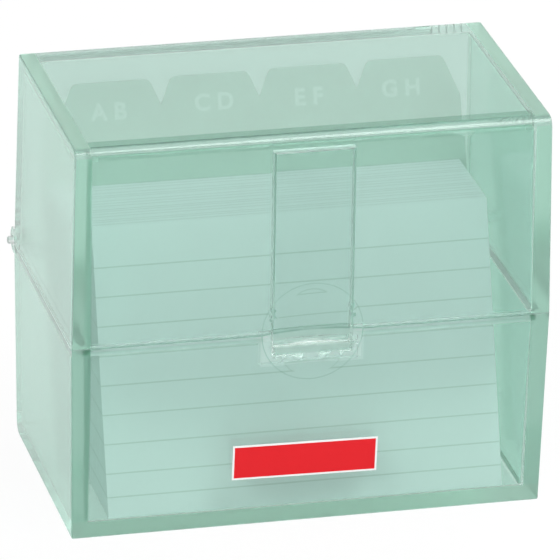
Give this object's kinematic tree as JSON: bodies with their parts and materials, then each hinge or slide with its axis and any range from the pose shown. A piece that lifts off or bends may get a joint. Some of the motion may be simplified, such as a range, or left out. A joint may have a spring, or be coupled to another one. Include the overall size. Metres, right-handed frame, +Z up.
{
  "type": "index card box",
  "caption": "Hinged-lid index card box in clear tinted plastic, with a springy latch tongue over a finger dish, holding ruled cards and lettered tab dividers.",
  "frame": {"origin": "centre of the bounding box's footprint, on the plane that the box stands on, hinge pins and heels included", "axes": "+X along the width to the viewer's right, +Y from the latch towards the hinge, +Z up through the lid"},
  "size_m": [0.1284, 0.0792, 0.1077],
  "materials": {
    "clear_plastic": "clear mint-green tinted moulded plastic, polished",
    "card_stock": "white card with faint ruled lines",
    "divider_board": "grey-green divider board with pale tab letters",
    "label_print": "red printed sticker with a thin white border, bare"
  },
  "bodies": {
    "tray": {"base_tray": "clear_plastic", "front_label": "label_print"},
    "lid": {"lid_cover": "clear_plastic"},
    "tongue": {"latch_tongue": "clear_plastic"},
    "card_pack_1": {"index_card_01": "card_stock", "index_card_02": "card_stock", "index_card_03": "card_stock", "index_card_04": "card_stock", "index_card_05": "card_stock", "index_card_06": "card_stock", "index_card_07": "card_stock", "index_card_08": "card_stock"},
    "card_pack_2": {"index_card_09": "card_stock", "index_card_10": "card_stock", "index_card_11": "card_stock", "index_card_12": "card_stock", "index_card_13": "card_stock", "index_card_14": "card_stock", "index_card_15": "card_stock", "index_card_16": "card_stock"},
    "card_pack_3": {"index_card_17": "card_stock", "index_card_18": "card_stock", "index_card_19": "card_stock", "index_card_20": "card_stock", "index_card_21": "card_stock", "index_card_22": "card_stock", "index_card_23": "card_stock", "index_card_24": "card_stock"},
    "card_pack_4": {"index_card_25": "card_stock", "index_card_26": "card_stock", "index_card_27": "card_stock", "index_card_28": "card_stock", "index_card_29": "card_stock", "index_card_30": "card_stock", "index_card_31": "card_stock", "index_card_32": "card_stock"},
    "card_pack_5": {"index_card_33": "card_stock", "index_card_34": "card_stock", "index_card_35": "card_stock", "index_card_36": "card_stock", "index_card_37": "card_stock", "index_card_38": "card_stock", "index_card_39": "card_stock", "index_card_40": "card_stock"},
    "card_pack_6": {"index_card_41": "card_stock", "index_card_42": "card_stock", "index_card_43": "card_stock", "index_card_44": "card_stock", "index_card_45": "card_stock", "index_card_46": "card_stock", "index_card_47": "card_stock", "index_card_48": "card_stock"},
    "divider_pack": {"divider_ab": "divider_board", "divider_cd": "divider_board", "divider_ef": "divider_board", "divider_gh": "divider_board"}
  },
  "joints": [
    {"name": "lid_hinge", "type": "hinge", "parent": "tray", "child": "lid", "pos_m": [0, 0.03551, 0.05385], "axis": [-1, 0, 0], "range_deg": [0, 110]},
    {"name": "latch_flex", "type": "hinge", "parent": "lid", "child": "tongue", "pos_m": [0, -0.03717, 0.1031], "axis": [-1, 0, 0], "range_deg": [0, 5], "stiffness_Nm_per_rad": 6},
    {"name": "card_pack_1_tilt", "type": "hinge", "parent": "tray", "child": "card_pack_1", "pos_m": [0.0006, -0.03305, 0.00368], "axis": [1, 0, 0], "range_deg": [0, 14]},
    {"name": "card_pack_2_tilt", "type": "hinge", "parent": "tray", "child": "card_pack_2", "pos_m": [0.0006, -0.02842, 0.00368], "axis": [1, 0, 0], "range_deg": [0, 14]},
    {"name": "card_pack_3_tilt", "type": "hinge", "parent": "tray", "child": "card_pack_3", "pos_m": [0.0006, -0.0238, 0.00368], "axis": [1, 0, 0], "range_deg": [0, 14]},
    {"name": "card_pack_4_tilt", "type": "hinge", "parent": "tray", "child": "card_pack_4", "pos_m": [0.0006, -0.01918, 0.00368], "axis": [1, 0, 0], "range_deg": [0, 14]},
    {"name": "card_pack_5_tilt", "type": "hinge", "parent": "tray", "child": "card_pack_5", "pos_m": [0.0006, -0.01455, 0.00368], "axis": [1, 0, 0], "range_deg": [0, 14]},
    {"name": "card_pack_6_tilt", "type": "hinge", "parent": "tray", "child": "card_pack_6", "pos_m": [0.0006, -0.00993, 0.00368], "axis": [1, 0, 0], "range_deg": [0, 14]},
    {"name": "divider_pack_tilt", "type": "hinge", "parent": "tray", "child": "divider_pack", "pos_m": [0.0006, -0.00531, 0.00371], "axis": [1, 0, 0], "range_deg": [0, 14]}
  ],
  "couplings": [
    {"joint": "card_pack_2_tilt", "follows": "card_pack_1_tilt", "ratio": 1},
    {"joint": "card_pack_3_tilt", "follows": "card_pack_1_tilt", "ratio": 1},
    {"joint": "card_pack_4_tilt", "follows": "card_pack_1_tilt", "ratio": 1},
    {"joint": "card_pack_5_tilt", "follows": "card_pack_1_tilt", "ratio": 1},
    {"joint": "card_pack_6_tilt", "follows": "card_pack_1_tilt", "ratio": 1},
    {"joint": "divider_pack_tilt", "follows": "card_pack_1_tilt", "ratio": 1}
  ]
}
